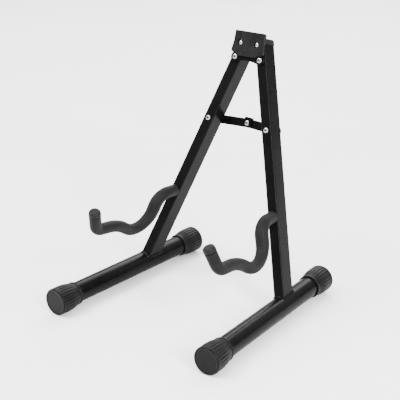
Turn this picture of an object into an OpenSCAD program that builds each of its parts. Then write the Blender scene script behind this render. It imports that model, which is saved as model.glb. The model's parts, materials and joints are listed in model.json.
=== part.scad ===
// Folding A-frame guitar stand. Two rectangular legs stand on round foot tubes and hinge on a
// plate at the top. Two flat strips brace them, padded arms carry the body, and a rubber rest
// takes the back. Every left piece is modelled once and mirrored for the right.

/* [Stance] */
// Backward lean of the plane of the legs, from vertical
lean = 16.7; // [12:0.1:22]
// Angle of each leg from the middle line, in the plane of the legs
spread = 17.6; // [15:0.1:20]
// Distance of each leg from the middle line, measured at its foot tube
leg_offset = 117; // [114:0.5:124]
// Outward turn of each foot tube at the front
toe_out = 2.6; // [0:0.1:5]

/* [Legs] */
// Width of the leg tube
leg_w = 15; // [12:0.5:18]
// Depth of the leg tube, front to back
leg_d = 25; // [20:0.5:30]
// Wall of the leg tube
leg_wall = 1.5; // [1:0.1:1.6]
// Outer corner radius of the leg tube
leg_corner = 1.8; // [1.6:0.1:3]
// Length from the foot tube's axis to the top of the leg tube
leg_top = 343; // [338:1:350]
// Length from the foot tube's axis to the top hinge
hinge_up = 321.5; // [318:0.5:326]
// Length from the foot tube's axis to the brace rivet
brace_up = 229.5; // [220:0.5:240]

/* [Feet] */
// Outer diameter of the foot tube
foot_d = 28; // [25:0.5:30]
// Wall of the foot tube
foot_wall = 1.5; // [1:0.1:2]
// Reach of the foot in front of the leg, with its end cap
foot_front = 180; // [160:1:200]
// Reach of the foot behind the leg, with its end cap
foot_back = 101; // [90:1:115]
// Outer diameter of an end cap
cap_d = 37; // [35:0.2:38]
// Length of an end cap
cap_len = 37; // [33:0.5:42]
// Number of grooves round an end cap
cap_grooves = 26; // [16:1:32]

/* [Arms] */
// Length from the foot tube's axis to the root of the arm
arm_up = 115.5; // [108:0.5:125]
// Diameter of the arm's steel rod
rod_d = 8; // [6:0.5:9]
// Outer diameter of the foam sleeve
sleeve_d = 16.2; // [15:0.2:17]
// Downward dip of the arm where it leaves the leg
arm_dip = 15; // [10:1:20]

/* [Top] */
// Width of the rubber rest at its top
rest_w = 47; // [43:1:50]
// Height of the rubber rest
rest_h = 33; // [30:1:36]
// Thickness of the rubber rest
rest_t = 4; // [3.5:0.5:6]
// Thickness of the hinge plate
plate_t = 2.5; // [2:0.1:3]

/* [Brace] */
// Width of a brace strip
strip_w = 12; // [10:0.5:14]
// Thickness of a brace strip
strip_t = 1.5; // [1.2:0.1:2]
// Upward tilt of each strip when the stand is open
strip_tilt = 3; // [2:0.5:5]

/* [Hidden] */

// Colours
paint = [0.05, 0.05, 0.055];
rubber = [0.12, 0.12, 0.125];
foam = [0.17, 0.17, 0.175];
bright = [0.8, 0.8, 0.82];

inner_corner = max(leg_corner - leg_wall, 0.2);

// Clearances
run_gap = 0.05; // radial, shank in its hole
face_gap = 0.1; // between a washer and what turns against it
side_gap = 0.2; // between moving flat faces
fit_gap = 0.02; // between pieces of one body

// Rivets and washers
shank_d = 5;
head_d = 7;
head_t = 1.6;
dimple_d = 3.4;
dimple_t = 1.2;
washer_d = 12;
washer_t = 0.8;

// Levels across the plane of the legs; negative is in front of the leg axes
front_face = -leg_d / 2;
back_face = leg_d / 2;
washer_back = front_face - face_gap;
plate_back = washer_back - washer_t - fit_gap;
plate_front = plate_back - plate_t;
strip_a_front = back_face + side_gap;
strip_a_back = strip_a_front + strip_t;
strip_b_front = strip_a_back + side_gap;
strip_b_back = strip_b_front + strip_t;

// Places in the plane of the legs: across, and up from the foot tubes' axes
hinge_x = leg_offset - hinge_up * sin(spread);
hinge_z = hinge_up * cos(spread);
brace_x = leg_offset - brace_up * sin(spread);
brace_z = brace_up * cos(spread);
strip_len = brace_x / cos(strip_tilt);
joint_z = brace_z + brace_x * tan(strip_tilt);

// The origin is on the floor, midway between the front caps' faces and the leg plugs' backs
axis_z = cap_d / 2;
plug_h = 7.5;
plug_lip = 0.6;
back_reach = (leg_top + plug_h) * cos(spread) * sin(lean) + (back_face + plug_lip) * cos(lean);
cap_edge = 1.2;
front_reach = foot_front * cos(toe_out) + (cap_d / 2 - cap_edge) * sin(toe_out);
axis_y = (front_reach - back_reach) / 2;

// Stations along an arm: runs are straight, turns are arcs with a signed angle
function arm_path(last_run) = [
  ["run", 15], ["turn", 20, -77], ["run", 8], ["turn", 30, 110], ["run", 6], ["turn", 69, -29],
  ["run", 13], ["turn", 14, 68], ["run", last_run]
];
lap = 0.1;
lap_step = 0.02;
root_len = 8;
last_run = 22;
tip_len = 7;
tip_cover = 3;

smooth = 64;

// --- Placing -----------------------------------------------------------------------------

// Plane of the legs: X across, Y to the rear, Z up along the plane
module in_plane() {
  translate([0, axis_y, axis_z]) rotate([-lean, 0, 0]) children();
}

// Along the left leg, from its foot tube's axis
module at_leg() {
  in_plane() translate([-leg_offset, 0, 0]) rotate([0, spread, 0]) children();
}

// Along the left foot tube: Z runs forward
module at_foot() {
  translate([-leg_offset, axis_y, axis_z]) rotate([0, 0, -toe_out]) rotate([90, 0, 0]) children();
}

// The right piece that matches a left one
module mirrored() {
  mirror([1, 0, 0]) children();
}

// --- Shapes ------------------------------------------------------------------------------

module round_box(w, d, r) {
  square([w - 2 * r, d], center = true);
  square([w, d - 2 * r], center = true);
  for (x = [-1, 1], y = [-1, 1])
    translate([x * (w / 2 - r), y * (d / 2 - r)]) circle(r, $fn = smooth);
}

// A disc or hole across the plane of the legs, from level y0 back to level y1
module across(x, z, y0, y1, d) {
  translate([x, y1, z]) rotate([90, 0, 0]) cylinder(h = y1 - y0, d = d, $fn = smooth);
}

// Semi-tubular rivet head with a dimple; its flat side is at z = 0
module rivet_head() {
  edge = 0.5;
  rotate_extrude($fn = smooth)
    polygon([
      [0, 0], [head_d / 2, 0], [head_d / 2, head_t - 2 * edge], [head_d / 2 - edge, head_t - edge / 2],
      [head_d / 2 - 3 * edge, head_t], [dimple_d / 2, head_t], [dimple_d / 2 - 0.3, head_t - dimple_t],
      [0, head_t - dimple_t]
    ]);
}

module rivet_front(x, y, z) {
  translate([x, y, z]) rotate([90, 0, 0]) rivet_head();
}

module rivet_back(x, y, z) {
  translate([x, y, z]) rotate([-90, 0, 0]) rivet_head();
}

// --- Bent arm ----------------------------------------------------------------------------

module at_arm() {
  at_leg() translate([0, front_face, arm_up]) rotate([90, 0, 0]) rotate([0, 0, 90])
    rotate([0, -arm_dip, 0]) children();
}

module ring(d, hole) {
  difference() {
    circle(d = d, $fn = smooth);
    if (hole > 0) circle(d = hole, $fn = smooth);
  }
}

// A run laps a little into the turns on both sides, and is a hair thicker, so that they join
module piece(step, d, hole) {
  if (step[0] == "run")
    translate([0, 0, -lap]) linear_extrude(step[1] + 2 * lap)
      ring(d + 2 * lap_step, hole - 2 * lap_step);
  else
    mirror([step[2] > 0 ? 1 : 0, 0, 0]) translate([-step[1], 0, 0]) rotate([90, 0, 0])
      rotate_extrude(angle = abs(step[2]), $fn = smooth * 2)
        translate([step[1], 0]) ring(d, hole);
}

module past(step) {
  if (step[0] == "run")
    translate([0, 0, step[1]]) children();
  else
    translate([sign(step[2]) * step[1], 0, 0]) rotate([0, step[2], 0])
      translate([-sign(step[2]) * step[1], 0, 0]) children();
}

module bent_bar(path, d, hole = 0, i = 0) {
  if (i < len(path)) {
    piece(path[i], d, hole);
    past(path[i]) bent_bar(path, d, hole, i + 1);
  }
}

module at_arm_end(path, i = 0) {
  if (i < len(path)) past(path[i]) at_arm_end(path, i + 1) children();
  else children();
}

// The bar from the leg's front face, less a gap, to its end
module arm_bar(last, gap, d, hole = 0) {
  difference() {
    at_arm() {
      translate([0, 0, -root_len]) linear_extrude(root_len + lap)
        ring(d + 2 * lap_step, hole - 2 * lap_step);
      bent_bar(arm_path(last), d, hole);
    }
    at_leg() translate([-20, front_face - gap, arm_up - 30]) cube([40, 60, 60]);
  }
}

// --- Top plate ---------------------------------------------------------------------------

// The plate's outline: a rectangle behind the rest, lobes round the hinges, an arch between
module plate_outline() {
  lobe_r = 6.4;
  top_z = hinge_z + rest_h + 1;
  arch_r = 60;
  arch_top = 3.2;
  difference() {
    union() {
      translate([-rest_w / 2 + 1, hinge_z]) square([rest_w - 2, top_z - hinge_z]);
      translate([-hinge_x, hinge_z - lobe_r]) square([2 * hinge_x, lobe_r + 1]);
      for (x = [-hinge_x, hinge_x]) translate([x, hinge_z]) circle(lobe_r, $fn = smooth);
    }
    translate([0, hinge_z - arch_top - arch_r]) circle(arch_r, $fn = 4 * smooth);
  }
}

screw_x = 13;
screw_z = hinge_z + 19.2;
screw_seat = plate_front - 1;
thread_d = 4;
screw_head_d = 6.4;

module hinge_plate() {
  color(paint) in_plane() difference() {
    translate([0, plate_front + plate_t, 0]) rotate([90, 0, 0])
      linear_extrude(plate_t) plate_outline();
    for (x = [-hinge_x, hinge_x])
      across(x, hinge_z, plate_front - 1, plate_back + 1, shank_d + 2 * fit_gap);
    for (x = [-screw_x, screw_x])
      across(x, screw_z, plate_front - 1, plate_back + 1, thread_d + 2 * fit_gap);
  }
}

// The rest's outline: straight above, flaring smoothly to its lower corners
rest_low = hinge_z + 2;
flare = 2.3;
flare_low = 7;
flare_high = 24;
function rest_half(z) =
  let (t = max(0, min(1, (flare_high - z) / (flare_high - flare_low)))) rest_w / 2 + flare * t * t;
module rest_outline() {
  heights = [rest_h - 0.6, for (z = [flare_high:-2:flare_low]) z, flare_low];
  side = [for (z = heights) [rest_half(z), rest_low + z]];
  foot = [
    [rest_half(flare_low) - 1, rest_low + flare_low - 2], [rest_w / 2 - 3, rest_low + 2],
    [12, rest_low]
  ];
  half = concat([[rest_w / 2 - 0.6, rest_low + rest_h]], side, foot);
  polygon(concat(half, [for (i = [len(half) - 1:-1:0]) [-half[i][0], half[i][1]]]));
}

module rest_pad() {
  corner_d = 10.6;
  seat = plate_front - fit_gap;
  front = seat - rest_t;
  edge = 1;
  color(rubber) in_plane() difference() {
    union() {
      translate([0, seat, 0]) rotate([90, 0, 0]) linear_extrude(rest_t - edge) rest_outline();
      intersection() {
        translate([0, seat, 0]) rotate([90, 0, 0]) linear_extrude(rest_t) rest_outline();
        translate([-rest_w, front, rest_low + edge]) cube([2 * rest_w, rest_t, rest_h - 2 * edge]);
      }
    }
    for (x = [-hinge_x, hinge_x]) across(x, hinge_z, front - 1, seat + 1, corner_d);
    for (x = [-screw_x, screw_x]) {
      across(x, screw_z, front - 1, seat + 1, thread_d + 0.6);
      across(x, screw_z, front - 1, screw_seat, screw_head_d + 1.6);
    }
  }
}

module pad_screws() {
  head_seat = screw_seat - fit_gap;
  r = screw_head_d / 2;
  rise = 2.2;
  color(bright) in_plane() for (x = [-screw_x, screw_x]) difference() {
    union() {
      across(x, screw_z, head_seat - 0.2, plate_back, thread_d);
      translate([x, head_seat, screw_z]) rotate([90, 0, 0]) rotate_extrude($fn = smooth)
        polygon([[0, 0], for (a = [0:15:90]) [r * cos(a), 0.3 + (rise - 0.3) * sin(a)]]);
    }
    for (turn = [20, 110])
      translate([x, head_seat - rise, screw_z]) rotate([0, turn, 0])
        cube([3.2, 2, 0.8], center = true);
  }
}

module pivot_washers() {
  color(rubber) in_plane() for (x = [-hinge_x, hinge_x]) difference() {
    across(x, hinge_z, washer_back - washer_t, washer_back, washer_d);
    across(x, hinge_z, washer_back - washer_t - 1, washer_back + 1, shank_d + 2 * fit_gap);
  }
}

module pivot_rivet() {
  tail = back_face + side_gap;
  color(bright) in_plane() {
    rivet_front(-hinge_x, plate_front - fit_gap, hinge_z);
    across(-hinge_x, hinge_z, plate_front - fit_gap, tail, shank_d);
    rivet_back(-hinge_x, tail, hinge_z);
  }
}

// --- Leg ---------------------------------------------------------------------------------

module foot_bar(d, reach = 0) {
  at_foot() translate([0, 0, -foot_back - reach])
    cylinder(h = foot_front + foot_back + 2 * reach, d = d, $fn = smooth);
}

module leg() {
  start = 2;
  color(paint) difference() {
    at_leg() translate([0, 0, start]) linear_extrude(leg_top - start) difference() {
      round_box(leg_w, leg_d, leg_corner);
      round_box(leg_w - 2 * leg_wall, leg_d - 2 * leg_wall, inner_corner);
    }
    foot_bar(foot_d + 2 * fit_gap);
    at_leg() for (z = [hinge_up, brace_up])
      across(0, z, front_face - 1, back_face + 1, shank_d + 2 * run_gap);
  }
}

module leg_plug() {
  tongue = 12;
  color(rubber) at_leg() {
    translate([0, 0, leg_top + fit_gap]) linear_extrude(plug_h - 1.2)
      round_box(leg_w + 2 * plug_lip, leg_d + 2 * plug_lip, leg_corner + plug_lip);
    translate([0, 0, leg_top + plug_h - 1.3]) linear_extrude(1.3)
      round_box(leg_w - 0.8, leg_d - 0.8, leg_corner);
    translate([0, 0, leg_top - tongue]) linear_extrude(tongue + 1)
      round_box(leg_w - 2 * leg_wall - 0.2, leg_d - 2 * leg_wall - 0.2, inner_corner);
  }
}

// --- Foot --------------------------------------------------------------------------------

cap_face = 5;

module foot_tube() {
  length = foot_front + foot_back - 2 * cap_face;
  color(paint) at_foot() translate([0, 0, cap_face - foot_back]) difference() {
    cylinder(h = length, d = foot_d, $fn = smooth);
    translate([0, 0, -1]) cylinder(h = length + 2, d = foot_d - 2 * foot_wall, $fn = smooth);
  }
}

// Weld bead round the joint of leg and foot tube: a rippled fillet that rides on the saddle line
bead = 2.2;
bead_rings = 64;
bead_arc = [0, 30, 60, 90];
foot_line = [
  -sin(toe_out) * cos(spread) + cos(toe_out) * sin(lean) * sin(spread),
  -cos(toe_out) * cos(lean),
  -cos(toe_out) * sin(lean) * cos(spread) - sin(toe_out) * sin(spread)
];

// A point of the leg's rounded outline at angle a, and the outward direction there
function outline(a) =
  let (k = 1 / max(abs(cos(a)) / (leg_w / 2), abs(sin(a)) / (leg_d / 2)),
       x = k * cos(a), y = k * sin(a),
       cx = sign(x) * (leg_w / 2 - leg_corner), cy = sign(y) * (leg_d / 2 - leg_corner),
       corner = abs(x) > abs(cx) && abs(y) > abs(cy))
  corner ? [cx, cy] + leg_corner * [x - cx, y - cy] / norm([x - cx, y - cy]) : [x, y];

function outward(a) =
  let (t = outline(a + 2) - outline(a - 2)) [t[1], -t[0]] / norm(t);

// Height at which the line up the leg through p leaves the foot tube
function saddle(p) =
  let (f = foot_line, u = [p[0], p[1], 0], v = [0, 0, 1],
       uu = u - (u * f) * f, vv = v - (v * f) * f,
       a = vv * vv, b = uu * vv, c = uu * uu - pow(foot_d / 2 + 2 * fit_gap, 2))
  (-b + sqrt(b * b - a * c)) / a;

// The last point of a ring is the root of the fillet, where leg and foot tube meet
function bead_point(i, j) =
  let (a = 360 * i / bead_rings, n = outward(a), p = outline(a) + 2 * fit_gap * n,
       in_root = j == len(bead_arc), t = in_root ? 0 : bead_arc[j],
       size = in_root ? 0 : bead * (1 + 0.08 * cos(360 * i / 4)),
       r = size * (1 - 0.2 * sin(2 * t)), q = p + r * cos(t) * n)
  [q[0], q[1], saddle(q) + r * sin(t)];

module foot_weld() {
  sides = len(bead_arc) + 1;
  color(paint) at_leg() polyhedron(
    points = [for (i = [0:bead_rings - 1], j = [0:sides - 1]) bead_point(i, j)],
    faces = [
      for (i = [0:bead_rings - 1], j = [0:sides - 1])
        let (p = i * sides + j, q = i * sides + (j + 1) % sides,
             p2 = (p + sides) % (bead_rings * sides), q2 = (q + sides) % (bead_rings * sides))
        each [[p, p2, q2], [p, q2, q]]
    ]
  );
}

// Rubber end cap on a tube that ends at z = -cap_face; the closed end is at z = 0.
// A flat face with a raised rim, a ribbed body, and a neck that ends in a thin lip.
module end_cap() {
  r = cap_d / 2;
  neck_r = foot_d / 2 + 1.5;
  groove_r = 0.9;
  difference() {
    rotate_extrude($fn = 2 * smooth) polygon([
      [0, -0.5], [r - 2.8, -0.5], [r - 2.2, 0], [r - cap_edge, 0], [r - 0.4, -0.5], [r, -1.6],
      [r, -15], [r - 0.3, -20], [r - 0.9, -24], [r - 1.8, -cap_len + 9.5], [neck_r, -cap_len + 5],
      [neck_r, -cap_len + 3], [neck_r + 0.5, -cap_len + 2.2], [neck_r + 0.5, -cap_len + 0.8],
      [neck_r, -cap_len], [foot_d / 2 + 0.3, -cap_len], [foot_d / 2 + fit_gap, -cap_len + 2],
      [foot_d / 2 + fit_gap, -cap_face + fit_gap], [0, -cap_face + fit_gap]
    ]);
    for (i = [0:cap_grooves - 1])
      rotate([0, 0, 360 * (i + 0.5) / cap_grooves]) translate([r + 0.2, 0, -cap_len + 8])
        cylinder(h = cap_len - 11, r = groove_r, $fn = 24);
  }
}

module front_cap() {
  color(rubber) at_foot() translate([0, 0, foot_front]) end_cap();
}

module rear_cap() {
  color(rubber) at_foot() translate([0, 0, -foot_back]) rotate([180, 0, 0]) end_cap();
}

// --- Arm ---------------------------------------------------------------------------------

module arm_rod() {
  color(paint) arm_bar(last_run, fit_gap, rod_d);
}

module arm_sleeve() {
  color(foam) arm_bar(last_run - tip_cover - lap, side_gap, sleeve_d, rod_d + 0.12);
}

module arm_tip() {
  r = sleeve_d / 2;
  color(rubber) at_arm() at_arm_end(arm_path(last_run)) difference() {
    translate([0, 0, fit_gap - tip_cover]) rotate_extrude($fn = smooth) polygon([
      [0, 0], [r + 0.3, 0], [r + 0.3, 3.4], [r - 0.2, 5], [r - 1.4, 6.3], [r - 3.4, tip_len],
      [0, tip_len]
    ]);
    translate([0, 0, -tip_cover - 1])
      cylinder(h = tip_cover + 1 + lap + fit_gap, d = rod_d + 0.12, $fn = smooth);
  }
}

// --- Brace -------------------------------------------------------------------------------

module brace_rivet(y_back) {
  color(bright) at_leg() {
    rivet_front(0, front_face - fit_gap, brace_up);
    across(0, brace_up, front_face - fit_gap, y_back + side_gap, shank_d);
    rivet_back(0, y_back + side_gap, brace_up);
  }
}

module brace_spacer() {
  color(bright) at_leg() difference() {
    across(0, brace_up, back_face + fit_gap, strip_b_front - side_gap, 11);
    across(0, brace_up, back_face - 1, strip_b_back, shank_d + 2 * fit_gap);
  }
}

// The left strip's end of the brace: X runs along the strip from the leg's rivet
module at_strip() {
  in_plane() translate([-brace_x, 0, brace_z]) rotate([0, -strip_tilt, 0]) children();
}

module strip_body(y0) {
  difference() {
    translate([0, y0 + strip_t, 0]) rotate([90, 0, 0]) linear_extrude(strip_t) {
      translate([0, -strip_w / 2]) square([strip_len, strip_w]);
      for (x = [0, strip_len]) translate([x, 0]) circle(d = strip_w, $fn = smooth);
    }
    across(0, 0, y0 - 1, y0 + strip_t + 1, shank_d + 2 * run_gap);
    across(strip_len, 0, y0 - 1, y0 + strip_t + 1, shank_d + 2 * fit_gap);
  }
}

// The left strip ends in an ear whose folded lip stops the right strip's top edge
lip_from = 3.5;
lip_to = 7;
lip_gap = 0.5;
ear_from = -5.5;
module left_brace_strip() {
  rise = strip_w / 2 + lip_gap;
  color(paint) at_strip() {
    difference() {
      union() {
        strip_body(strip_a_front);
        translate([strip_len, strip_a_back, 0]) rotate([0, 2 * strip_tilt, 0])
          rotate([90, 0, 0]) linear_extrude(strip_t) polygon([
            [ear_from, 0], [ear_from, rise + 0.5], [ear_from + 2, rise + strip_t],
            [lip_to, rise + strip_t], [lip_to, -strip_w / 2 + 2], [lip_to - 2, -strip_w / 2],
            [0, -strip_w / 2]
          ]);
      }
      across(strip_len, 0, strip_a_front - 1, strip_a_back + 1, shank_d + 2 * fit_gap);
    }
    translate([strip_len, strip_a_back - 0.5, 0]) rotate([0, 2 * strip_tilt, 0])
      translate([lip_from, 0, rise]) cube([lip_to - lip_from, strip_t + side_gap + 0.8, strip_t]);
  }
}

module right_brace_strip() {
  color(paint) mirrored() at_strip() strip_body(strip_b_front);
}

// The joint between the strips: the head rides with the left strip, the tail with the right one
module centre_rivet_head() {
  color(bright) in_plane() {
    rivet_front(0, strip_a_front - fit_gap, joint_z);
    across(0, joint_z, strip_a_front - fit_gap, strip_a_back, shank_d);
  }
}

module centre_rivet_tail() {
  color(bright) in_plane() {
    across(0, joint_z, strip_b_front, strip_b_back + fit_gap, shank_d);
    rivet_back(0, strip_b_back + fit_gap, joint_z);
  }
}

// --- Nodes -------------------------------------------------------------------------------

hinge_plate();
rest_pad();
pad_screws();
pivot_washers();
pivot_rivet();  // left_pivot_rivet
mirrored() pivot_rivet();  // right_pivot_rivet
leg();  // left_leg
leg_plug();  // left_leg_plug
foot_tube();  // left_foot_tube
foot_weld();  // left_foot_weld
front_cap();  // left_front_cap
rear_cap();  // left_rear_cap
arm_rod();  // left_arm_rod
arm_sleeve();  // left_arm_sleeve
arm_tip();  // left_arm_tip
brace_rivet(strip_a_back);  // left_brace_rivet
mirrored() leg();  // right_leg
mirrored() leg_plug();  // right_leg_plug
mirrored() foot_tube();  // right_foot_tube
mirrored() foot_weld();  // right_foot_weld
mirrored() front_cap();  // right_front_cap
mirrored() rear_cap();  // right_rear_cap
mirrored() arm_rod();  // right_arm_rod
mirrored() arm_sleeve();  // right_arm_sleeve
mirrored() arm_tip();  // right_arm_tip
mirrored() brace_rivet(strip_b_back);  // right_brace_rivet
mirrored() brace_spacer();  // right_brace_spacer
left_brace_strip();
right_brace_strip();
centre_rivet_head();
centre_rivet_tail();
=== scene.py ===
"""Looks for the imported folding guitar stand: foam, rubber, paint, plated rivets, floor, lights and camera."""

import json
import math

import bmesh
import bpy
from mathutils import Matrix, Vector, noise


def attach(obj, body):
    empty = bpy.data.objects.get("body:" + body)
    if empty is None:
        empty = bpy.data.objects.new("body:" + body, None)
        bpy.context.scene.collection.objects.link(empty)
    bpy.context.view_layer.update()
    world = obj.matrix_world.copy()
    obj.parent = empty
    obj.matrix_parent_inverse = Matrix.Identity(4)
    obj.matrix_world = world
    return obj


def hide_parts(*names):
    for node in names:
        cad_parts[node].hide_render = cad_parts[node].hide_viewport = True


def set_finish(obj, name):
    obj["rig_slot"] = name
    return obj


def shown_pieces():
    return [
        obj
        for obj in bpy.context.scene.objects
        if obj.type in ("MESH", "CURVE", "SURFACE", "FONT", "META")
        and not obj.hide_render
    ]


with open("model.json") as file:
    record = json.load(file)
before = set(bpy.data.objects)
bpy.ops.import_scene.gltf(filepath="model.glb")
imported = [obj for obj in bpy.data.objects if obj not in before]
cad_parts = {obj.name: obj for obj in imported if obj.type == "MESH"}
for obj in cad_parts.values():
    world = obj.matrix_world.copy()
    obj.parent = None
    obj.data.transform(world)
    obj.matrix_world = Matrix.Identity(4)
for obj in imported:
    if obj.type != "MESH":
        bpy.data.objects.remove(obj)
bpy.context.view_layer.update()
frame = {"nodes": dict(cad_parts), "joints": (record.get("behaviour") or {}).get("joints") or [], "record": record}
joints = {j["name"]: j for j in frame["joints"]}

MM = 0.001
SIDES = ("left", "right")

# --- Driving sizes, in millimetres and degrees, as in the CAD -------------------------------

SPREAD = 17.6
TOE_OUT = 2.6
HINGE_UP = 321.5
LEG_W, LEG_D, LEG_CORNER = 15, 25, 1.8
FOOT_D = 28
FOOT_FRONT, FOOT_BACK = 180, 101
CAP_D, CAP_LEN, CAP_GROOVES = 37, 37, 26
CAP_NECK = FOOT_D / 2 + 1.5
ARM_UP, ARM_DIP = 115.5, 15
SLEEVE_D = 16.2
# Bore over the arm's rod, in the sleeve and in the tip
BORE_D = 8.12
# Stations of an arm: (length,) is a straight run, (radius, angle) is a bend
ARM_PATH = ((15,), (20, -77), (8,), (30, 110), (6,), (69, -29), (13,), (14, 68), (22,))
TIP_COVER, TIP_LEN = 3, 7
# The rest: width at its top, height, thickness, flare at its lower corners and where it ends
REST_W, REST_H, REST_T, REST_FLARE = 47, 33, 4, 2.3
FLARE_LOW, FLARE_HIGH = 7, 24
REST_LOW = 2
SCREW_X, SCREW_Z = 13, 19.2
PLATE_FRONT = -15.92
WELD_SIZE = 2.2

# --- Sculpted detail, in millimetres --------------------------------------------------------

# The foam bunches up over the shoulder: how much, how far along the arm, and over what length
BUNCH, BUNCH_AT, BUNCH_REACH = 1.1, 44, 20
# Creases inside the foam's bends: depth and spacing
CREASE, CREASE_STEP = 0.42, 4.6
# Unevenness of the foam's skin, and depth and reach of the roll at the leg
FOAM_LUMP = 0.09
FOAM_ROLL, ROLL_REACH = 0.9, 1.2
# The foam stays this far from the leg
ROOT_GAP = 0.35
# Ribs round an end cap: depth, where they start and end, and the length over which they fade
RIB_DEPTH, RIB_TOP, RIB_FOOT, RIB_FADE = 0.7, -2.6, 7.5 - CAP_LEN, 2.2
# Ribs are cut only where the cap's radius is at least this
RIBBED_R = CAP_NECK + 0.8
# The rest: radius of its rolled edges, hollow and unevenness of its face, size of its mesh
REST_ROLL, REST_HOLLOW, REST_LUMP, REST_VOXEL = 0.7, 0.35, 0.05, 0.45
# Radius of the seats that the rest's screws sink into
SCREW_SEAT = 4.0
WELD_RIPPLES = 24

axis = Vector(joints["left_leg_fold"]["axis"])
LEAN = math.atan2(axis.z, -axis.y)


# --- Placing --------------------------------------------------------------------------------

def plane_matrix(origin):
    """Plane of the legs: X across, Y to the rear, Z up along the plane."""
    s, c = math.sin(LEAN), math.cos(LEAN)
    rotation = Matrix(((1, 0, 0), (0, c, s), (0, -s, c))).to_4x4()
    return Matrix.Translation(origin) @ rotation


def turn(angle, letter):
    """Rotation by an angle in degrees about an axis."""
    return Matrix.Rotation(math.radians(angle), 4, letter)


left_hinge = Vector(joints["left_leg_fold"]["pos_m"]) / MM
hinge_in_plane = plane_matrix(left_hinge) @ turn(SPREAD, "Y")
leg_root = hinge_in_plane @ Vector((0, 0, -HINGE_UP))
at_leg = plane_matrix(leg_root) @ turn(SPREAD, "Y")
at_foot = Matrix.Translation(leg_root) @ turn(-TOE_OUT, "Z") @ turn(90, "X")
in_plane = plane_matrix(Vector((0, left_hinge.y, left_hinge.z)))
# Forward of the leg is +X here, up along the leg is +Z
at_arm = at_leg @ Matrix.Translation((0, -LEG_D / 2, ARM_UP)) @ turn(-90, "Z")


# --- Meshes ---------------------------------------------------------------------------------

def finish_mesh(name, verts, faces, place, side="left"):
    """Verts in millimetres in a local frame, placed on the left and mirrored for the right."""
    flip = side == "right"
    points = []
    for v in verts:
        p = (place @ Vector(v)) * MM
        points.append((-p.x if flip else p.x, p.y, p.z))
    mesh = bpy.data.meshes.new(name)
    mesh.from_pydata(points, [], [tuple(reversed(f)) if flip else tuple(f) for f in faces])
    mesh.validate()
    for polygon in mesh.polygons:
        polygon.use_smooth = True
    obj = bpy.data.objects.new(name, mesh)
    bpy.context.scene.collection.objects.link(obj)
    bm = bmesh.new()
    bm.from_mesh(mesh)
    bmesh.ops.recalc_face_normals(bm, faces=bm.faces)
    bm.to_mesh(mesh)
    bm.free()
    return obj


def grid_faces(rings, sides):
    """Quads between rings of points; the last ring joins the first."""
    faces = []
    for i in range(rings):
        k = (i + 1) % rings
        for j in range(sides):
            m = (j + 1) % sides
            faces.append((i * sides + j, i * sides + m, k * sides + m, k * sides + j))
    return faces


def lathe(name, profile, place, side, segments=64, wobble=None):
    """Turns a closed outline of (radius, height) about Z; ends on the axis become fans."""
    verts, rows = [], []
    for r, z in profile:
        if r < 1e-6:
            rows.append([len(verts)])
            verts.append(Vector((0, 0, z)))
        else:
            row = []
            for j in range(segments):
                a = 2 * math.pi * j / segments
                rr = r if wobble is None else wobble(r, z, a)
                row.append(len(verts))
                verts.append(Vector((rr * math.cos(a), rr * math.sin(a), z)))
            rows.append(row)
    faces = []
    for one, two in zip(rows, rows[1:]):
        for j in range(segments):
            m = (j + 1) % segments
            if len(one) == 1:
                faces.append((one[0], two[m], two[j]))
            elif len(two) == 1:
                faces.append((one[j], one[m], two[0]))
            else:
                faces.append((one[j], one[m], two[m], two[j]))
    return finish_mesh(name, verts, faces, place, side)


def fillet(points, radius, steps=5):
    """Rounds the corners of an open outline; the ends stay."""
    out = [Vector(points[0])]
    for i in range(1, len(points) - 1):
        a, b, c = (Vector(p) for p in points[i - 1:i + 2])
        r = min(radius, (a - b).length * 0.45, (c - b).length * 0.45)
        p, q = b + (a - b).normalized() * r, b + (c - b).normalized() * r
        for k in range(steps + 1):
            t = k / steps
            out.append(p * (1 - t) ** 2 + b * 2 * t * (1 - t) + q * t * t)
    out.append(Vector(points[-1]))
    return out


def fillet_loop(points, radius):
    """Rounds every corner of a closed outline."""
    start = [(points[0][i] + points[-1][i]) / 2 for i in (0, 1)]
    rounded = fillet([(*start, 0)] + [(x, z, 0) for x, z in points] + [(*start, 0)], radius, 3)
    return [(v.x, v.y) for v in rounded[:-1]]


def arc(cx, cz, r, start, end, count):
    """Points on a circle; angles in degrees."""
    turns = [math.radians(start + (end - start) * k / count) for k in range(count + 1)]
    return [(cx + r * math.cos(a), cz + r * math.sin(a)) for a in turns]


# --- Arms -----------------------------------------------------------------------------------

def arm_stations(step=1.0):
    """Centre point, heading, bend and length along the arm, in its own plane, from the leg's face."""
    heading, p, length = math.radians(-ARM_DIP), Vector((0, 0)), 0.0
    stations = [(p.copy(), heading, 0.0, length)]
    for part in ARM_PATH:
        total = part[0] if len(part) == 1 else part[0] * math.radians(abs(part[1]))
        bend = 0.0 if len(part) == 1 else math.copysign(1 / part[0], part[1])
        count = max(1, round(total / step))
        d = total / count
        for _ in range(count):
            heading += bend * d / 2
            p = p + d * Vector((math.cos(heading), math.sin(heading)))
            heading += bend * d / 2
            length += d
            stations.append((p.copy(), heading, bend, length))
    return stations


def smooth_bend(stations, index, reach=6):
    """Curvature averaged over neighbouring stations, so that the creases fade in and out."""
    near = stations[max(0, index - reach):index + reach + 1]
    return sum(s[2] for s in near) / len(near)


def around_arm(p, heading, r, a):
    """Point at radius r and angle a round the arm's centre line, kept off the leg."""
    up = Vector((-math.sin(heading), 0, math.cos(heading)))
    across = Vector((0, 1, 0))
    v = Vector((p.x, 0, p.y)) + up * (r * math.sin(a)) + across * (r * math.cos(a))
    v.x = max(v.x, ROOT_GAP)
    return v


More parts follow.
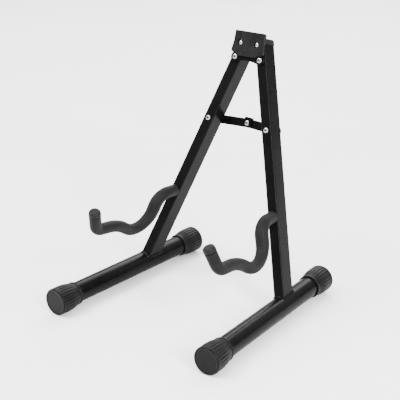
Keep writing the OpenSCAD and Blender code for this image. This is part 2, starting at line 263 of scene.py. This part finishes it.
def foam_radius(length, bend, a):
    """Radius of the foam at angle a: rolled at the leg, creased inside the bends, bunched up."""
    rim = min(1.0, (length + 0.4) / ROLL_REACH)
    rounding = 1 - math.sqrt(1 - (1 - rim) ** 2)
    inside = max(0.0, math.sin(a) * (1 if bend > 0 else -1))
    # The creases wander a little round the arm
    wander = 0.9 * math.sin(a * 2 + length * 0.13)
    crease = 0.5 + 0.5 * math.sin(length * 2 * math.pi / CREASE_STEP + wander)
    lump = noise.noise(Vector((length * 0.06, math.cos(a) * 0.9, math.sin(a) * 0.9)))
    bunch = BUNCH * math.exp(-((length - BUNCH_AT) / BUNCH_REACH) ** 2)
    r = SLEEVE_D / 2 - 0.1 - FOAM_ROLL * rounding + FOAM_LUMP * lump + bunch
    return r - CREASE * inside ** 1.5 * crease ** 2 * min(1.0, abs(bend) * 26)


def arm_sleeve(side):
    """Closed foam tube along the arm: out along its skin and back along its bore."""
    sides = 56
    stations = arm_stations()
    end = stations[-1][3] - TIP_COVER - 0.15
    covered = [(k, station) for k, station in enumerate(stations) if station[3] <= end]
    angles = [2 * math.pi * j / sides for j in range(sides)]
    verts = []
    for k, (p, heading, _, length) in covered:
        bend = smooth_bend(stations, k)
        verts += [around_arm(p, heading, foam_radius(length, bend, a), a) for a in angles]
    for _, (p, heading, _, _) in reversed(covered):
        verts += [around_arm(p, heading, BORE_D / 2 + 0.05, a) for a in angles]
    obj = finish_mesh(f"{side}_foam_sleeve", verts, grid_faces(2 * len(covered), sides), at_arm, side)
    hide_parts(f"{side}_arm_sleeve")
    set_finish(obj, "foam")
    return obj


def arm_tip(side):
    """Moulded cap pressed over the rod's end, with a rolled collar next to the foam."""
    r = SLEEVE_D / 2
    bore = BORE_D / 2 + 0.05
    p, heading, _, _ = arm_stations()[-1]
    outline = [
        (bore, 0.02), (r - 0.3, 0.02), (r + 0.3, 0.5), (r + 0.3, 1.6), (r - 0.1, 2.1), (r, 2.8),
        (r - 0.2, 4.9), (r - 1.5, 6.6), (r - 3.6, 6.98), (0, TIP_LEN)
    ]
    profile = [(v.x, v.y) for v in fillet([(a, b, 0) for a, b in outline], 1.0, 6)]
    inside = [(0, TIP_COVER + 0.12), (bore, TIP_COVER + 0.12), (bore, 0.02)]
    place = at_arm @ Matrix.Translation((p.x, 0, p.y)) @ turn(90 - math.degrees(heading), "Y")
    place = place @ Matrix.Translation((0, 0, -TIP_COVER))
    obj = lathe(f"{side}_arm_end_cap", inside + profile[1:], place, side)
    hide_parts(f"{side}_arm_tip")
    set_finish(obj, "plug_plastic")
    return obj


# --- End caps -------------------------------------------------------------------------------

def cap_profile():
    """Half outline of an end cap as (radius, height); the face is near 0 and the lip at -CAP_LEN."""
    r = CAP_D / 2
    bore = FOOT_D / 2 + 0.05
    face = [(0, -0.5), (6, -0.42), (r - 3.4, -0.5), (r - 2.4, -0.05), (r - 1.2, -0.02)]
    body = [(r, -1.5), (r, -15), (r - 0.3, -20), (r - 0.9, -24), (r - 1.8, 9.5 - CAP_LEN)]
    neck = [
        (CAP_NECK, 5 - CAP_LEN), (CAP_NECK, 3 - CAP_LEN), (CAP_NECK + 0.5, 2.2 - CAP_LEN),
        (CAP_NECK + 0.5, 0.8 - CAP_LEN), (CAP_NECK, 0.02 - CAP_LEN)
    ]
    inside = [(bore + 0.3, 0.02 - CAP_LEN), (bore, 2 - CAP_LEN), (bore, -4.95), (0, -4.95)]
    rounded = fillet([(a, b, 0) for a, b in face + body + neck + inside], 1.2)
    # Extra rings where the ribs run
    profile = []
    for p, q in zip(rounded, rounded[1:]):
        ribbed = p.x > RIBBED_R and q.x > RIBBED_R
        cuts = max(1, round((p - q).length / 0.8)) if ribbed else 1
        profile += [(p.x + (q.x - p.x) * k / cuts, p.y + (q.y - p.y) * k / cuts) for k in range(cuts)]
    return profile + [(rounded[-1].x, rounded[-1].y)]


def cap_ribs(radius, z, a):
    """Radius of the cap's ribbed body at angle a; the ribs fade out at both ends."""
    if radius < RIBBED_R or z > RIB_TOP:
        return radius
    along = min(1.0, max(0.0, min(RIB_TOP - z, z - RIB_FOOT) / RIB_FADE))
    wave = 0.5 + 0.5 * math.cos(a * CAP_GROOVES)
    depth = RIB_DEPTH * (3 * along ** 2 - 2 * along ** 3) * (1 - wave ** 0.4)
    return radius - min(depth, max(0.0, radius - CAP_NECK - 0.3))


def end_cap(side, end):
    """Ribbed rubber cap: flat face with a raised rim, ribbed body, and a neck with a thin lip."""
    reach = FOOT_FRONT if end == "front" else FOOT_BACK
    flip = Matrix.Identity(4) if end == "front" else turn(180, "X")
    place = at_foot @ flip @ Matrix.Translation((0, 0, reach))
    obj = lathe(f"{side}_{end}_rubber_cap", cap_profile(), place, side, CAP_GROOVES * 10, cap_ribs)
    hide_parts(f"{side}_{end}_cap")
    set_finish(obj, "cap_rubber")
    return obj


# --- Back rest ------------------------------------------------------------------------------

def rest_half(z):
    """Half width of the rest at a height above its lower edge."""
    t = max(0.0, min(1.0, (FLARE_HIGH - z) / (FLARE_HIGH - FLARE_LOW)))
    return REST_W / 2 + REST_FLARE * t * t


def rest_profile():
    """Closed outline of the rest, across and up from the hinges."""
    hinge_x = -left_hinge.x
    notch = 5.3
    right = [(REST_W / 2, REST_H)]
    right += [(rest_half(z), z) for z in (FLARE_HIGH, 21, 18, 15, 12, 9.5, FLARE_LOW)]
    right += [(rest_half(FLARE_LOW) - 1, FLARE_LOW - 2)]
    # Cut round the hinge rivet
    right += arc(hinge_x, -REST_LOW, notch, 68, 158, 8)
    right += [(12, 0)]
    outline = right + [(-x, z) for x, z in reversed(right)]
    return [(x, z + REST_LOW) for x, z in outline]


def rest_pad():
    """Moulded rubber rest with rolled edges, sunk screw seats and a slightly hollow face."""
    curve = bpy.data.curves.new("rest_outline", "CURVE")
    curve.dimensions, curve.fill_mode = "2D", "BOTH"
    loops = [fillet_loop(rest_profile(), 0.9)]
    for x in (-SCREW_X, SCREW_X):
        loops.append(arc(x, SCREW_Z, SCREW_SEAT, 360, 360 / 24, 23))
    for points in loops:
        spline = curve.splines.new("POLY")
        spline.points.add(len(points) - 1)
        for point, (x, z) in zip(spline.points, points):
            point.co = (x, z, 0, 1)
        spline.use_cyclic_u = True
    depth = REST_T - 0.04
    curve.bevel_depth, curve.bevel_resolution, curve.offset = REST_ROLL, 3, -REST_ROLL
    curve.extrude = depth / 2 - REST_ROLL
    source = bpy.data.objects.new("rest_outline", curve)
    bpy.context.scene.collection.objects.link(source)
    remesh = source.modifiers.new("even", "REMESH")
    remesh.mode, remesh.voxel_size = "VOXEL", REST_VOXEL
    shape = source.evaluated_get(bpy.context.evaluated_depsgraph_get()).to_mesh()
    verts = []
    for v in shape.vertices:
        x, z = v.co.x, v.co.y
        front = max(0.0, v.co.z) / (depth / 2)
        hollow = REST_HOLLOW * math.exp(-(x / 17) ** 2 - ((z - 20) / 12) ** 2)
        lump = REST_LUMP * noise.noise(Vector((x * 0.12, z * 0.12, 3)))
        y = PLATE_FRONT - 0.02 - depth / 2 - v.co.z + front * (hollow + lump)
        verts.append((x, y, z))
    faces = [tuple(polygon.vertices) for polygon in shape.polygons]
    bpy.data.objects.remove(source)
    obj = finish_mesh("rubber_rest", verts, faces, in_plane)
    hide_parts("rest_pad")
    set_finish(obj, "rest_rubber")
    return obj


# --- Weld bead ------------------------------------------------------------------------------

def leg_outline(a):
    """Point on the leg's rounded outline at angle a."""
    hw, hd = LEG_W / 2, LEG_D / 2
    k = 1 / max(abs(math.cos(a)) / hw, abs(math.sin(a)) / hd)
    p = Vector((k * math.cos(a), k * math.sin(a)))
    centre = Vector((math.copysign(hw - LEG_CORNER, p.x), math.copysign(hd - LEG_CORNER, p.y)))
    if abs(p.x) > abs(centre.x) and abs(p.y) > abs(centre.y):
        return centre + (p - centre).normalized() * LEG_CORNER
    return p


def saddle(x, y, reach):
    """Height where the line up the leg through x, y is reach outside the foot tube's skin."""
    local = at_leg.inverted().to_3x3() @ (at_foot.to_3x3() @ Vector((0, 0, 1)))
    u, v = Vector((x, y, 0)), Vector((0, 0, 1))
    u, v = u - u.dot(local) * local, v - v.dot(local) * local
    a, b, c = v.dot(v), u.dot(v), u.dot(u) - (FOOT_D / 2 + reach) ** 2
    return (-b + math.sqrt(b * b - a * c)) / a


def weld(side):
    """Rippled fillet round the joint of leg and foot tube."""
    rings, samples, gap = 320, 1440, 0.05
    bead_angles = [math.radians(90 * k / 8) for k in range(9)]
    # Stations at equal distances round the leg
    fine = [leg_outline(2 * math.pi * k / samples) for k in range(samples)]
    lengths = [0.0]
    for a, b in zip(fine, fine[1:] + fine[:1]):
        lengths.append(lengths[-1] + (b - a).length)
    verts, k = [], 0
    for i in range(rings):
        goal = lengths[-1] * i / rings
        while lengths[k + 1] < goal:
            k += 1
        share = (goal - lengths[k]) / (lengths[k + 1] - lengths[k])
        p = fine[k].lerp(fine[(k + 1) % samples], share)
        along = fine[(k + 6) % samples] - fine[(k - 6) % samples]
        out = Vector((along.y, -along.x)).normalized()
        phase = WELD_RIPPLES * i / rings % 1
        a = 2 * math.pi * i / rings
        irregular = noise.noise(Vector((math.cos(a) * 4, math.sin(a) * 4, 0)))
        size = WELD_SIZE * (0.94 + 0.08 * math.sqrt(phase) + 0.05 * irregular)
        base = p + gap * out
        for t in bead_angles:
            r = size * (1 - 0.2 * math.sin(2 * t))
            q = base + r * math.cos(t) * out
            verts.append(Vector((q.x, q.y, saddle(q.x, q.y, gap) + r * math.sin(t))))
        verts.append(Vector((base.x, base.y, saddle(base.x, base.y, gap))))
    faces = grid_faces(rings, len(bead_angles) + 1)
    obj = finish_mesh(f"{side}_weld_bead", verts, faces, at_leg, side)
    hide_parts(f"{side}_foot_weld")
    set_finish(obj, "black_paint")
    return obj


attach(rest_pad(), "bracket")
for side in SIDES:
    for build in (arm_sleeve, arm_tip, weld):
        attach(build(side), f"{side}_side")
    for end in ("front", "rear"):
        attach(end_cap(side, end), f"{side}_side")


# --- Materials ------------------------------------------------------------------------------

class Nodes:
    """A small helper that adds nodes to a material and links them by socket name."""

    def __init__(self, name):
        self.material = bpy.data.materials.new(name)
        self.material.use_nodes = True
        self.tree = self.material.node_tree
        self.shader = self.tree.nodes["Principled BSDF"]
        self.place = self.add("ShaderNodeTexCoord").outputs["Object"]

    def add(self, kind, **settings):
        """A new node; each setting is one of its inputs or one of its properties."""
        node = self.tree.nodes.new(kind)
        for key, value in settings.items():
            if key in node.inputs:
                self.attach(value, node.inputs[key])
            else:
                setattr(node, key, value)
        return node

    def attach(self, value, socket):
        """Links a socket to another one, or sets its value."""
        if isinstance(value, bpy.types.NodeSocket):
            self.tree.links.new(value, socket)
        else:
            socket.default_value = value

    def noise(self, scale, detail=3.0, roughness=0.5):
        """Noise in the object's own space; the scale is per metre."""
        node = self.add("ShaderNodeTexNoise", Scale=scale, Detail=detail, Roughness=roughness)
        self.tree.links.new(self.place, node.inputs["Vector"])
        return node.outputs["Fac"]

    def spread(self, fac, low, high, from_low=0.3, from_high=0.7):
        """Stretches part of a value's range over low to high."""
        node = self.add("ShaderNodeMapRange")
        self.tree.links.new(fac, node.inputs["Value"])
        ends = {"From Min": from_low, "From Max": from_high, "To Min": low, "To Max": high}
        for key, value in ends.items():
            node.inputs[key].default_value = value
        return node.outputs["Result"]

    def colours(self, fac, one, two, low=0.3, high=0.7):
        """Ramp from one colour to another."""
        ramp = self.add("ShaderNodeValToRGB")
        start, end = ramp.color_ramp.elements
        start.position, end.position = low, high
        start.color, end.color = (*one, 1), (*two, 1)
        self.tree.links.new(fac, ramp.inputs["Fac"])
        return ramp.outputs["Color"]

    def mix(self, one, two, share=0.12):
        """One value with a share of another."""
        low = self.add("ShaderNodeMath", operation="MULTIPLY_ADD")
        for socket, value in zip(low.inputs, (two, share, 0.0)):
            self.attach(value, socket)
        both = self.add("ShaderNodeMath", operation="MULTIPLY_ADD")
        for socket, value in zip(both.inputs, (one, 1 - share, low.outputs[0])):
            self.attach(value, socket)
        return both.outputs[0]

    def bumps(self, *layers):
        """Layers of (height, strength, distance in metres)."""
        normal = None
        for height, strength, distance in layers:
            node = self.add("ShaderNodeBump", Strength=strength, Distance=distance)
            self.tree.links.new(height, node.inputs["Height"])
            if normal is not None:
                self.tree.links.new(normal, node.inputs["Normal"])
            normal = node.outputs["Normal"]
        self.tree.links.new(normal, self.shader.inputs["Normal"])

    def feed(self, **sockets):
        """Sets or links the shader's sockets; a low line in a name stands for a space."""
        for key, value in sockets.items():
            self.attach(value, self.shader.inputs[key.replace("_", " ")])


def gloss_paint():
    """Black enamel with faint orange peel and a few dull scuffs."""
    m = Nodes("gloss_black_paint")
    cloud, peel, dust = m.noise(24, 4), m.noise(520, 2), m.noise(2600, 2)
    scuff = m.spread(m.noise(150, 8, 0.7), 0, 1, 0.62, 0.75)
    tone = m.mix(cloud, scuff, 0.5)
    m.feed(
        Base_Color=m.colours(tone, (0.0015, 0.0015, 0.0017), (0.0065, 0.0065, 0.0070), 0.15, 0.85),
        Roughness=m.mix(m.spread(m.noise(90, 5), 0.30, 0.42), scuff, 0.25),
        Coat_Weight=0.02,
        Coat_Roughness=0.08,
        Specular_IOR_Level=0.038,
    )
    m.bumps((peel, 0.04, 0.0002), (dust, 0.03, 0.00004))
    return m.material


def foam():
    """Closed-cell foam: matt, with small pits in its skin."""
    m = Nodes("closed_cell_foam")
    patch, cells, fine = m.noise(60, 4), m.noise(1500, 3, 0.6), m.noise(5200, 2)
    m.feed(
        Base_Color=m.colours(patch, (0.0036, 0.0036, 0.0038), (0.0060, 0.0060, 0.0063)),
        Roughness=m.spread(cells, 0.5, 0.7),
        Sheen_Weight=0.012,
        Sheen_Roughness=0.45,
        Specular_IOR_Level=0.09,
    )
    m.bumps((cells, 0.35, 0.0003), (fine, 0.2, 0.0001))
    return m.material


def moulded_rubber(name, dark, light, rough):
    """Moulded rubber, uneven in tone, with rubbed patches and a fine grain."""
    m = Nodes(name)
    patch, grain = m.noise(70, 5), m.noise(2400, 3)
    rubbed = m.spread(m.noise(260, 8, 0.7), 0, 1, 0.6, 0.75)
    m.feed(
        Base_Color=m.colours(m.mix(patch, rubbed, 0.3), dark, light, 0.21, 0.6),
        Roughness=m.spread(m.noise(140, 4), rough - 0.06, rough + 0.08),
        Specular_IOR_Level=0.07,
    )
    m.bumps((patch, 0.08, 0.0006), (grain, 0.22, 0.00008))
    return m.material


def plated(name, colour, rough):
    """Plated metal; painted shade darkens its recesses."""
    m = Nodes(name)
    haze, scratch = m.noise(700, 4), m.noise(3500, 2)
    # Painted shade: an ambient occlusion mask darkens the base colour in the dimples and round the heads
    recess_shade = m.add("ShaderNodeAmbientOcclusion", samples=8, Distance=0.0022).outputs["AO"]
    # Colour of the painted shade in the recesses
    dark = tuple(c * 0.06 for c in colour)
    m.feed(
        Base_Color=m.colours(m.mix(recess_shade, haze), dark, colour, 0.56, 0.9),
        Metallic=1.0,
        Roughness=m.spread(haze, rough - 0.05, rough + 0.12),
    )
    m.bumps((scratch, 0.08, 0.00004))
    return m.material


def plastic(name, dark, light, rough):
    """Matt moulded plastic."""
    m = Nodes(name)
    patch, grain = m.noise(80, 4), m.noise(3000, 2)
    m.feed(
        Base_Color=m.colours(patch, dark, light),
        Roughness=m.spread(patch, rough - 0.05, rough + 0.08),
        Specular_IOR_Level=0.12,
    )
    m.bumps((grain, 0.18, 0.00006))
    return m.material


FINISH = {
    "black_paint": gloss_paint(),
    "foam": foam(),
    "cap_rubber": moulded_rubber("cap_rubber", (0.0024, 0.0024, 0.0026), (0.0044, 0.0044, 0.0047), 0.42),
    "rest_rubber": moulded_rubber("rest_rubber", (0.0030, 0.0030, 0.0032), (0.0082, 0.0082, 0.0085), 0.42),
    "plug_plastic": plastic("black_plastic", (0.0028, 0.0028, 0.0030), (0.0048, 0.0048, 0.0051), 0.4),
    "nylon": plastic("black_nylon", (0.004, 0.004, 0.0042), (0.006, 0.006, 0.0063), 0.5),
    "nickel": plated("nickel_plate", (0.5, 0.47, 0.45), 0.2),
    "zinc": plated("zinc_plate", (0.6, 0.6, 0.61), 0.22),
}

slot_of = {row["node"]: row["material_slot"] for row in frame["record"]["subparts"]}
for name, obj in frame["nodes"].items():
    obj.data.materials.clear()
    obj.data.materials.append(FINISH[slot_of[name]])
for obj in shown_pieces():
    if "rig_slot" in obj:
        obj.data.materials.clear()
        obj.data.materials.append(FINISH[obj["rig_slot"]])


# --- Stage, in metres -----------------------------------------------------------------------

FLOOR_HALF, FLOOR_DROP = 14, 0.0004
# Strength of the sky at the horizon and overhead
HORIZON, ZENITH = 0.5, 3.2
# Heights between which that strength rises, as the sine of the angle above the horizon
SKY_LOW, SKY_HIGH = 0.05, 0.75
# Name, place, aim, size and power in watts
LIGHTS = (
    ("key", (-1.2, -1.4, 2.4), (0, 0, 0.15), (1.6, 1.6), 150),
    ("rim", (1.75, -0.7, 1.1), (0, 0, 0.2), (0.4, 0.8), 85),
    ("back", (-0.8, 2.0, 1.8), (0, 0, 0.15), (1.8, 1.0), 70),
)
# The camera's place, its tilt down and turn to the left in degrees, and its lens in millimetres
CAMERA_PLACE = (0.7722, -0.9925, 0.6398)
CAMERA_TILT, CAMERA_TURN = 21.32, 37.69
CAMERA_LENS, CAMERA_SENSOR = 93.1, 36


def floor():
    """Plain pale floor, just under the stand."""
    mesh = bpy.data.meshes.new("floor")
    corners = [(-1, -1), (1, -1), (1, 1), (-1, 1)]
    mesh.from_pydata([(x * FLOOR_HALF, y * FLOOR_HALF, 0) for x, y in corners], [], [(0, 1, 2, 3)])
    obj = bpy.data.objects.new("floor", mesh)
    obj.location.z = -FLOOR_DROP
    bpy.context.scene.collection.objects.link(obj)
    m = Nodes("pale_floor")
    m.feed(Base_Color=m.colours(m.noise(3, 2), (0.86, 0.86, 0.86), (0.9, 0.9, 0.9)), Roughness=0.7)
    mesh.materials.append(m.material)


def area_light(name, place, aim, size, power):
    """Rectangular light that the camera doesn't see."""
    light = bpy.data.lights.new(name, "AREA")
    light.shape = "RECTANGLE"
    light.size, light.size_y = size
    light.energy = power
    obj = bpy.data.objects.new(name, light)
    obj.visible_camera = False
    obj.location = place
    obj.rotation_euler = (Vector(aim) - Vector(place)).to_track_quat("-Z", "Y").to_euler()
    bpy.context.scene.collection.objects.link(obj)


def studio_world():
    """Soft light from above that falls off towards the horizon."""
    world = bpy.data.worlds.new("studio")
    world.use_nodes = True
    tree = world.node_tree
    direction = tree.nodes.new("ShaderNodeTexCoord").outputs["Generated"]
    split = tree.nodes.new("ShaderNodeSeparateXYZ")
    ramp = tree.nodes.new("ShaderNodeMapRange")
    ends = {"From Min": SKY_LOW, "From Max": SKY_HIGH, "To Min": HORIZON, "To Max": ZENITH}
    for key, value in ends.items():
        ramp.inputs[key].default_value = value
    background = tree.nodes["Background"]
    background.inputs["Color"].default_value = (1, 1, 1, 1)
    tree.links.new(direction, split.inputs["Vector"])
    tree.links.new(split.outputs["Z"], ramp.inputs["Value"])
    tree.links.new(ramp.outputs["Result"], background.inputs["Strength"])
    return world


def camera():
    """Camera to the right of the stand, looking down at it."""
    data = bpy.data.cameras.new("camera")
    data.sensor_width = CAMERA_SENSOR
    data.lens = CAMERA_LENS
    obj = bpy.data.objects.new("camera", data)
    obj.location = CAMERA_PLACE
    obj.rotation_euler = (math.radians(90 - CAMERA_TILT), 0, math.radians(CAMERA_TURN))
    bpy.context.scene.collection.objects.link(obj)
    bpy.context.scene.camera = obj


floor()
for name, place, aim, size, power in LIGHTS:
    area_light(name, place, aim, size, power)
bpy.context.scene.world = studio_world()
camera()
